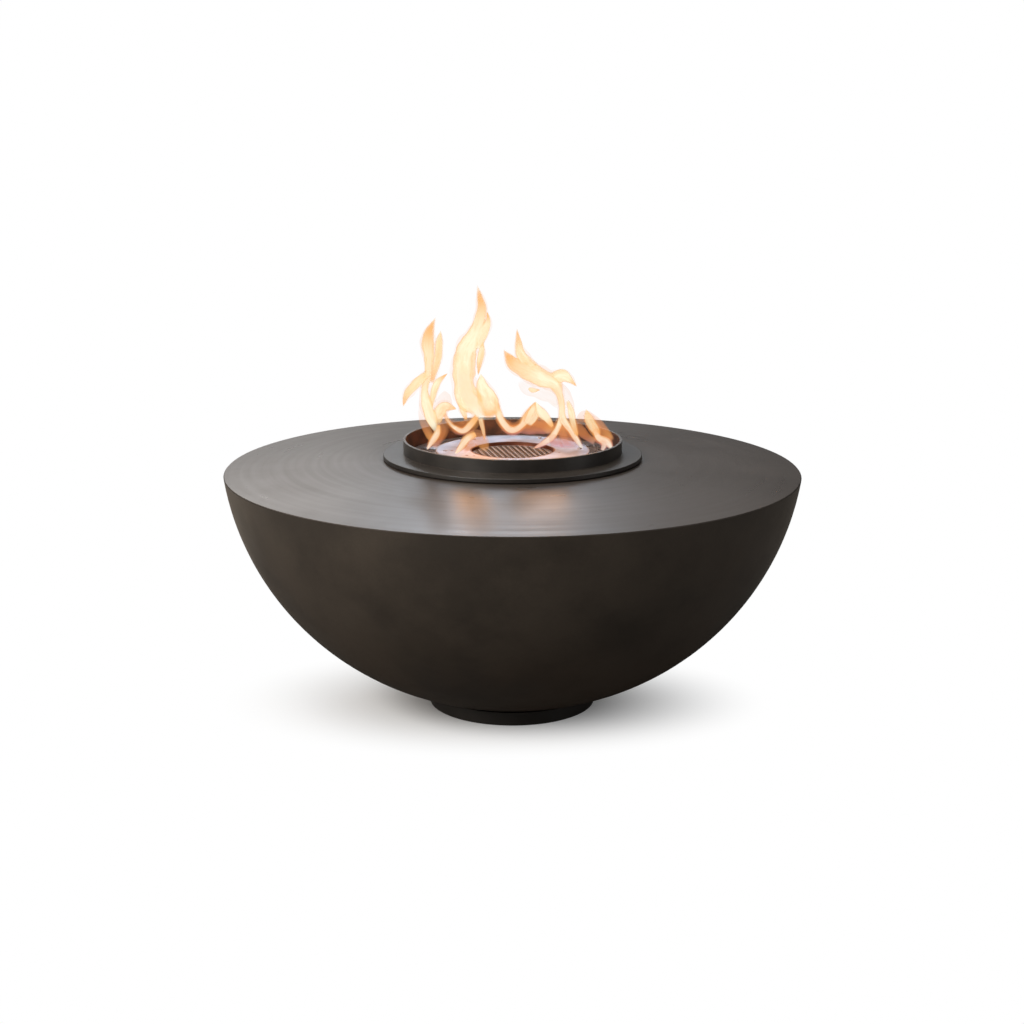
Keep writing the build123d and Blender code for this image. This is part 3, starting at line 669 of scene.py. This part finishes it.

# Flames. They are burning gas and no part of the object, and ride on the burner so that they
# go where it goes. Each tongue has from one to three layers, veil, body and core, and runs
# through points picked in the picture: pixels across and down, then mm behind the bowl's
# axis, then its half width in pixels.
picture_width = 1024
sensor_width = 36.0
lens = 65.64
shift_across = -0.0002
shift_up = 0.0751
camera_back = 3.2
camera_height = 1.0945
tilt_degrees = 15.52
roll_degrees = 0.15
mm_per_pixel = 1.78
tongues = {
    "left foot": (3, (427, 450, -30, 0.7), (432, 441, -30, 2.6), (437, 433, -28, 3),
                  (439, 424, -26, 1)),
    "left strand": (3, (437, 434, -27, 1.5), (432, 420, -26, 5), (427, 405, -25, 5),
                    (425, 390, -22, 3.6), (428, 373, -20, 3.2), (429, 358, -18, 4.5),
                    (428, 344, -14, 6), (430, 331, -10, 4.2), (436, 316, -6, 0)),
    "left side strand": (2, (441, 330, -6, 0), (439, 342, -8, 2.8), (438, 356, -10, 3.2),
                         (435, 369, -12, 3), (431, 384, -14, 1.5)),
    "left horn": (2, (430, 372, -22, 2), (420, 380, -30, 4), (411, 389, -40, 4),
                  (406, 397, -46, 2.6), (403, 407, -52, 0)),
    "left bend": (2, (436, 424, -18, 3), (440, 412, -16, 5.5), (446, 407, -12, 4.5),
                  (457, 409, -8, 0)),
    "left veil": (1, (438, 416, -18, 4), (444, 402, -14, 7), (445, 390, -12, 0)),
    "left link": (2, (430, 408, -20, 2), (433, 396, -18, 3), (437, 383, -16, 3),
                  (448, 373, -14, 0)),
    "left outer veil": (1, (423, 400, -16, 2), (422, 414, -14, 3), (426, 428, -12, 3),
                        (433, 440, -10, 2)),
    "left low veil": (1, (440, 420, -6, 3), (443, 430, -4, 4), (438, 441, -6, 3),
                      (433, 448, -10, 1)),
    "tall tongue": (3, (484, 421, 56, 3), (477, 408, 56, 10), (468, 396, 55, 12.5),
                    (464, 380, 54, 11.5), (464, 364, 52, 11), (466, 350, 50, 10),
                    (473, 337, 48, 7.5), (479, 324, 46, 6), (482, 309, 44, 4.6),
                    (480, 298, 42, 3), (477, 284, 40, 0)),
    "tall side tip": (3, (477, 350, 44, 3), (481, 338, 44, 4.6), (486, 328, 43, 4),
                      (488, 320, 42, 2.4), (487, 311, 40, 0)),
    "tall small tip": (2, (483, 341, 42, 0), (482, 351, 44, 2.8), (480, 361, 45, 3),
                       (478, 376, 46, 0)),
    "tall foot": (3, (481, 373, 50, 0), (482, 384, 52, 5), (486, 395, 54, 9),
                  (489, 406, 58, 11), (493, 417, 64, 6)),
    "swag": (3, (490, 394, 58, 2), (497, 408, 66, 3), (502, 421, 76, 3.2), (511, 430, 84, 3.2),
             (521, 426, 84, 3), (528, 415, 82, 3.8), (535, 401, 80, 0)),
    "swag thread": (2, (480, 418, 48, 2.4), (483, 430, 44, 1.6), (485, 440, 40, 0.6)),
    "tall thread": (2, (461, 398, 54, 2), (463, 408, 54, 3.4), (466, 420, 54, 1)),
    "peak left": (2, (527, 424, 80, 4), (533, 414, 78, 5.5), (536, 401, 76, 0)),
    "peak right": (3, (536, 402, 76, 0), (540, 411, 72, 4.2), (547, 419, 68, 3.4),
                   (553, 427, 62, 1.5)),
    "peak veil": (1, (524, 427, 92, 3), (534, 420, 90, 5), (545, 424, 88, 5), (551, 434, 84, 3)),
    "right sweep": (3, (585, 453, 14, 0.8), (578, 442, 20, 2.4), (570, 430, 26, 3),
                    (563, 418, 30, 3.6), (562, 405, 30, 2.8), (560, 394, 28, 3.4),
                    (554, 384, 26, 7), (541, 377, 24, 9), (527, 371, 22, 9), (514, 364, 20, 6.4),
                    (508, 357, 20, 3.6), (503, 349, 20, 0)),
    "right upper tip": (2, (534, 371, 24, 6), (525, 361, 22, 6.4), (519, 348, 22, 3.8),
                        (517, 328, 20, 0)),
    "right fork": (2, (552, 378, 26, 5), (562, 376, 25, 5.4), (569, 379, 23, 3.6),
                   (577, 387, 20, 0)),
    "right middle veil": (1, (521, 380, 26, 2), (527, 388, 27, 5), (539, 390, 28, 7),
                          (552, 396, 28, 6), (561, 407, 28, 2)),
    "right bead": (3, (528, 388, 28, 0.5), (533, 390, 28, 2.4), (540, 390, 28, 0)),
    "right inner veil": (1, (557, 384, 26, 3), (564, 394, 25, 4.5), (570, 404, 24, 3),
                         (572, 412, 24, 1)),
    "right outer strand": (2, (567, 400, 26, 1), (571, 412, 26, 3), (573, 424, 24, 3),
                           (577, 437, 20, 1)),
    "right low strand": (3, (562, 416, 30, 3), (558, 427, 34, 2.8), (552, 437, 38, 2.6),
                         (544, 443, 40, 2), (533, 449, 40, 0.6)),
    "right low veil": (1, (563, 424, 30, 3), (566, 434, 28, 7), (570, 444, 24, 8),
                       (576, 452, 18, 3)),
    "right foot veil": (1, (552, 434, 36, 2), (556, 444, 30, 4), (566, 454, 20, 1)),
    "far right tip": (2, (586, 409, 12, 0), (589, 419, 14, 4.5), (594, 428, 14, 4.5),
                      (598, 436, 12, 2)),
    "far right foot": (3, (612, 449, 6, 1), (607, 442, 8, 3.6), (599, 438, 10, 3.6),
                       (595, 431, 12, 2.4), (592, 421, 12, 0)),
    "far right thread": (2, (602, 451, 6, 1), (604, 444, 8, 3), (600, 440, 10, 2)),
    "far right veil": (1, (578, 424, 30, 3), (584, 416, 30, 4), (594, 422, 30, 4.4),
                       (604, 432, 26, 4), (612, 442, 20, 2)),
    "far right low veil": (1, (572, 422, 34, 2), (580, 430, 30, 3.6), (587, 437, 28, 3),
                           (596, 442, 24, 2)),
    "front lick": (3, (455, 454, -116, 0.8), (462, 446, -115, 2.6), (468, 438, -114, 3.4),
                   (476, 434, -113, 2)),
    "front veil": (1, (462, 452, -108, 2), (468, 444, -108, 5), (476, 439, -107, 6),
                   (483, 443, -106, 4.4), (485, 452, -106, 1.5)),
    "loop": (3, (443, 410, -6, 1), (447, 419, 30, 2.2), (454, 427, 60, 2.4), (463, 431, 62, 3),
             (471, 425, 62, 3), (478, 414, 62, 2)),
    "loop veil": (1, (447, 420, 60, 2), (456, 427, 84, 5), (467, 427, 88, 6), (478, 418, 84, 4)),
    "swag glow": (1, (498, 414, 98, 2), (504, 424, 104, 4), (513, 429, 106, 5),
                  (522, 424, 104, 4), (529, 414, 100, 3)),
    "base glow": (1, (500, 428, 106, 2), (515, 428, 110, 3), (530, 428, 108, 5),
                  (545, 427, 104, 5), (560, 430, 90, 4), (572, 432, 70, 2)),
}
layer_widths = ((1.04, 2.8), (0.94, 0.7), (0.62, 0.4))
steps_per_span = 12
tongue_sides = 28
tongue_flatness = 0.6
raggedness = 0.26


def from_picture(across, down, behind, half_width):
    """Whole mm across, behind and up of a picture point at a known depth, and its half width."""
    tilt = radians(tilt_degrees)
    roll = radians(roll_degrees)
    pixels = lens / sensor_width * picture_width
    level = (across - picture_width / 2 + shift_across * picture_width) / pixels
    upright = (picture_width / 2 - down + shift_up * picture_width) / pixels
    right = level * cos(roll) - upright * sin(roll)
    up = level * sin(roll) + upright * cos(roll)
    away = (behind / 1000 + camera_back) / (up * sin(tilt) + cos(tilt))
    height = (camera_height + (up * cos(tilt) - sin(tilt)) * away) * 1000
    return round(right * away * 1000), behind, round(height), round(half_width * mm_per_pixel)


def flowing(path, share):
    """Point and half width a share of the way along a path, on a smooth line through it."""
    reach = share * (len(path) - 1)
    first = min(int(reach), len(path) - 2)
    part = reach - first
    before = path[max(first - 1, 0)]
    after = path[min(first + 2, len(path) - 1)]
    found = []
    for a, b, c, d in zip(before, path[first], path[first + 1], after):
        bend = 2 * b + (c - a) * part
        bend += (2 * a - 5 * b + 4 * c - d) * part**2 + (3 * b - a - 3 * c + d) * part**3
        found.append(bend / 2)
    return Vector(found[:3]) / 1000, max(found[3], 0.0)


def add_tongue(shape, path, layer, number):
    """Adds one soft closed layer of a tongue, flatter from front to back than it is wide."""
    steps = steps_per_span * (len(path) - 1)
    shell = shape.verts.layers.float["shell"]
    share_along = shape.verts.layers.float["along"]
    flow = shape.verts.layers.float_vector["flow"]
    wider, more = layer_widths[layer]
    rows = []
    travelled = number * 0.37 + layer * 0.11
    last_centre = None
    for step in range(steps + 1):
        share = step / steps
        centre, half_width = flowing(path, share)
        half_width = half_width * wider + more * min(1.0, half_width / 6)
        if last_centre is not None:
            travelled += (centre - last_centre).length
        last_centre = centre
        ahead = flowing(path, min(share + 0.01, 1.0))[0] - flowing(path, max(share - 0.01, 0.0))[0]
        rise = ahead.normalized()
        wide = Vector((rise.z, 0, -rise.x)).normalized()
        deep = rise.cross(wide).normalized()
        row = []
        for corner in range(tongue_sides):
            angle = 2 * pi * corner / tongue_sides
            rough_place = Vector((cos(angle) * 0.9, sin(angle) * 0.5, travelled * 34))
            ragged = noise.noise(rough_place) + 0.4 * noise.noise(rough_place * 2.6)
            reach = max(half_width, 0.15) / 1000 * (1 + raggedness * ragged)
            outward = wide * cos(angle) + deep * tongue_flatness * sin(angle)
            vertex = shape.verts.new(centre + outward * reach)
            vertex[shell] = layer
            vertex[share_along] = share
            vertex[flow] = (cos(angle) * reach, sin(angle) * reach, travelled)
            row.append(vertex)
        rows.append(row)
    join_rows(shape, rows, True)


shape = bmesh.new()
shape.verts.layers.float.new("shell")
shape.verts.layers.float.new("along")
shape.verts.layers.float_vector.new("flow")
for number, (layers, *picked) in enumerate(tongues.values()):
    path = [from_picture(*point) for point in picked]
    for layer in range(layers):
        add_tongue(shape, path, layer, number)
fire_mesh = as_mesh("fire", shape)
fire = put("fire", fire_mesh)

flame_rim = (0.96, 0.38, 0.12, 1)
flame_veil = (0.97, 0.48, 0.24, 1)
flame_deep = (0.90, 0.30, 0.09, 1)
flame_amber = (1.0, 0.58, 0.16, 1)
flame_cream = (1.0, 0.96, 0.68, 1)
flame_white = (1.0, 0.99, 0.86, 1)
flame_tip = (0.98, 0.46, 0.14, 1)
flame_mirrored = (1.0, 0.45, 0.14, 1)
spirit_blue = (0.42, 0.33, 0.80, 1)
glow = Finish("flame", {})
facing = glow.node("ShaderNodeLayerWeight", None, {"Blend": 0.5}, "Facing")
heat = glow.node("ShaderNodeAttribute", {"attribute_name": "shell"}, None, "Fac")
along = glow.node("ShaderNodeAttribute", {"attribute_name": "along"}, None, "Fac")
flow = glow.node("ShaderNodeAttribute", {"attribute_name": "flow"}, None, "Vector")
square_on = 1 - facing
bodied = heat.ramp(0.0, 1.0)
stretch = {"Vector": flow, "Scale": (1.0, 1.0, 0.22)}
drawn_out = glow.node("ShaderNodeMapping", None, stretch)
sheets = glow.cloud(50.0, 3.0, 0.5, drawn_out).ramp(0.40, 0.64)
threads = glow.cloud(230.0, 2.0, 0.5, drawn_out).ramp(0.30, 0.70)
lowness = glow.z.ramp(0.535, 0.475)
creamy = square_on.ramp(0.40, 0.88) * (0.1 + 0.8 * sheets + 0.2 * threads + 0.6 * lowness)
body = glow.mix(creamy, flame_amber, flame_cream)
body = glow.mix(square_on.ramp(0.66, 0.30) * 0.85, body, flame_rim)
body = glow.mix(lowness * 0.15, body, flame_deep)
heart = glow.mix(bodied, glow.mix(lowness, flame_veil, flame_deep), body)
heart = glow.mix(heat.ramp(1.0, 2.0) * square_on.ramp(0.2, 0.7), heart, flame_white)
tips = along.ramp(0.62, 0.95)
heart = glow.mix(tips * 0.9, heart, flame_tip)
low = glow.z.ramp(0.482, 0.452) * heat.ramp(2.0, 0.0)
heart = glow.mix(low * 0.4, heart, spirit_blue)
veiled = 1 - bodied
rimmed = 1 - 0.75 * veiled * (1 - lowness) * square_on * square_on
soft = square_on ** (1.7 - 0.9 * bodied + 0.2 * heat) * rimmed
seen = soft * (0.36 + 0.48 * bodied) * (0.55 + 0.50 * sheets + 0.15 * threads)
seen = seen * along.ramp(0.0, 0.14) * along.ramp(1.0, 0.88)
camera_ray = glow.node("ShaderNodeLightPath", out="Is Camera Ray")
mirrored_more = glow.x.ramp(-0.115, -0.100) * 5.2 - 0.7
band = glow.z.ramp(0.49, 0.53) * glow.z.ramp(0.62, 0.57)
mirrored_more = mirrored_more * band * (1 - camera_ray)
brightness = (1 + 0.05 * heat) * (1 + mirrored_more)
shown = glow.mix(camera_ray, flame_mirrored, heart)
light = glow.node("ShaderNodeEmission", None, {"Color": shown, "Strength": brightness})
clear = glow.node("ShaderNodeBsdfTransparent")
sheet = glow.node("ShaderNodeMixShader", None, {0: seen, 1: clear, 2: light})
glow.feed(glow.tree.nodes["Material Output"].inputs["Surface"], sheet)
glow.tree.nodes.remove(glow.shader)
fire_mesh.materials.append(glow.material)
fire.visible_shadow = False
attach(fire, "burner")
bpy.context.scene.cycles.transparent_max_bounces = 40

# Fire light. Small warm lamps among the flames light the inside of the collar and the slab.
fire_lamps = ((-110, 0, 520, 0.3), (-20, 100, 505, 0.7), (90, 60, 515, 0.35))
for across, behind, up, power in fire_lamps:
    lamp = bpy.data.lights.new("fire_light", "POINT")
    lamp.energy = power
    lamp.color = (1.0, 0.50, 0.20)
    lamp.shadow_soft_size = 0.03
    holder = put("fire_light", lamp)
    holder.location = Vector((across, behind, up)) / 1000
    holder.visible_glossy = False
    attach(holder, "burner")

# Floor. Pale and plain; past the bowl's shadow it fades to the white of the backdrop. It throws
# less light back than it shows, and mirrors see it darker, fading to a warm white further out.
floor_mesh = bpy.data.meshes.new("floor")
floor_reach = 20.0
corners = [(-floor_reach, -floor_reach, 0), (floor_reach, -floor_reach, 0)]
corners += [(floor_reach, floor_reach, 0), (-floor_reach, floor_reach, 0)]
floor_mesh.from_pydata(corners, [], [(0, 1, 2, 3)])
floor = put("floor", floor_mesh)
shadow_start = 0.11
shadow_end = 0.505
shadow_shift = 0.035
shadow_front_share = 0.62
mirror_start = 0.80
mirror_end = 1.35


def rays(plan):
    """Readings that are 1 for the camera's rays, and for those off a mirror or through glass."""
    path = plan.tree.nodes.new("ShaderNodeLightPath")
    glossy = Reading(plan, path.outputs["Is Glossy Ray"])
    through = Reading(plan, path.outputs["Is Transmission Ray"])
    return Reading(plan, path.outputs["Is Camera Ray"]), glossy + through


ground = Finish("pale_floor", {"Roughness": 0.9, "Specular IOR Level": 0.0})
looked_at, mirrored = rays(ground)
seen_grey = ground.mix(mirrored, (0.20, 0.185, 0.17, 1), (0.225, 0.21, 0.195, 1))
seen_grey = ground.mix(looked_at, seen_grey, (0.88, 0.88, 0.88, 1))
ground.feed(ground.shader.inputs["Base Color"], seen_grey)
sideways = ground.x + shadow_shift
forward = ground.y / shadow_front_share
spread = (sideways * sideways + forward * forward).root()
far = spread.ramp(shadow_start, shadow_end) * looked_at
leftward = 0.25 + 0.75 * ground.x.ramp(0.3, -0.6)
far = far + spread.ramp(mirror_start, mirror_end) * leftward * mirrored
white_seen = ground.mix(mirrored, (1.0, 1.0, 1.0, 1), (1.0, 0.86, 0.71, 1))
white = ground.node("ShaderNodeEmission", None, {"Color": white_seen, "Strength": 1.0})
lit = Reading(ground, ground.shader.outputs[0])
surface = ground.node("ShaderNodeMixShader", None, {0: far, 1: lit, 2: white})
ground.feed(ground.tree.nodes["Material Output"].inputs["Surface"], surface)
floor_mesh.materials.append(ground.material)

# Backdrop. White to the camera and a soft grey studio for everything else; mirrors see it
# brighter near the horizon, most of all on the left, and darker elsewhere on the right.
world = bpy.data.worlds.new("studio")
bpy.context.scene.world = world
world.use_nodes = True
studio = Plan(world.node_tree)
looked_at, mirrored = rays(studio)
direction = studio.node("ShaderNodeTexCoord", out="Generated")
parts = world.node_tree.nodes.new("ShaderNodeSeparateXYZ")
studio.feed(parts.inputs[0], direction)
elevation = Reading(studio, parts.outputs[2])
leftward = Reading(studio, parts.outputs[0]).ramp(0.12, -0.20)
horizon = elevation.ramp(0.24, 0.04) * (0.14 + 0.86 * leftward)
strength = 0.24 - 0.13 * mirrored * (1 - leftward) + mirrored * horizon * 0.42
strength = strength.at_least(looked_at)
background = world.node_tree.nodes["Background"]
background.inputs["Color"].default_value = (1, 1, 1, 1)
studio.feed(background.inputs["Strength"], strength)

# Studio lamps: a broad soft box overhead, the main one in front on the left, a small warm one
# low beside it, three behind whose reflections run over the slab, and a weak one on the right.
lamps = {
    "overhead": ((-0.3, -0.2, 3.2), (2.6, 2.6), 50, (1.0, 0.985, 0.96)),
    "left_side": ((-2.1, -2.4, 2.0), (1.5, 1.5), 112, (1.0, 0.95, 0.89)),
    "left_low": ((-2.5, -0.9, 0.4), (1.2, 0.6), 4, (1.0, 0.84, 0.68)),
    "behind_left": ((-1.35, 3.2, 1.95), (1.7, 1.4), 14, (1.0, 0.96, 0.93)),
    "behind_high": ((-0.15, 3.9, 2.75), (1.0, 0.9), 17, (0.78, 0.88, 1.0)),
    "behind_wide": ((0.3, 3.9, 2.4), (2.0, 1.2), 4, (1.0, 0.97, 0.95)),
    "right_fill": ((2.9, -1.2, 0.8), (1.5, 1.5), 8, (1.0, 0.98, 0.96)),
}
for name, (place, extent, power, tone) in lamps.items():
    lamp = bpy.data.lights.new(name, "AREA")
    lamp.shape = "RECTANGLE"
    lamp.size, lamp.size_y = extent
    lamp.energy = power
    lamp.color = tone
    holder = put(name, lamp)
    holder.location = place
    aim = Vector((0, 0, 0.4)) - Vector(place)
    holder.rotation_euler = aim.to_track_quat("-Z", "Y").to_euler()
    holder.visible_camera = False

# Camera. It stands 3.2 m in front and looks down on the bowl, as in the photograph.
camera = bpy.data.cameras.new("camera")
camera.sensor_width = sensor_width
camera.lens = lens
camera.shift_x = shift_across
camera.shift_y = shift_up
eye = put("camera", camera)
eye.location = (0, -camera_back, camera_height)
eye.rotation_euler = (radians(90 - tilt_degrees), 0, 0)
eye.rotation_euler.rotate_axis("Z", radians(roll_degrees))
bpy.context.scene.camera = eye
bpy.context.scene.view_settings.view_transform = "Standard"
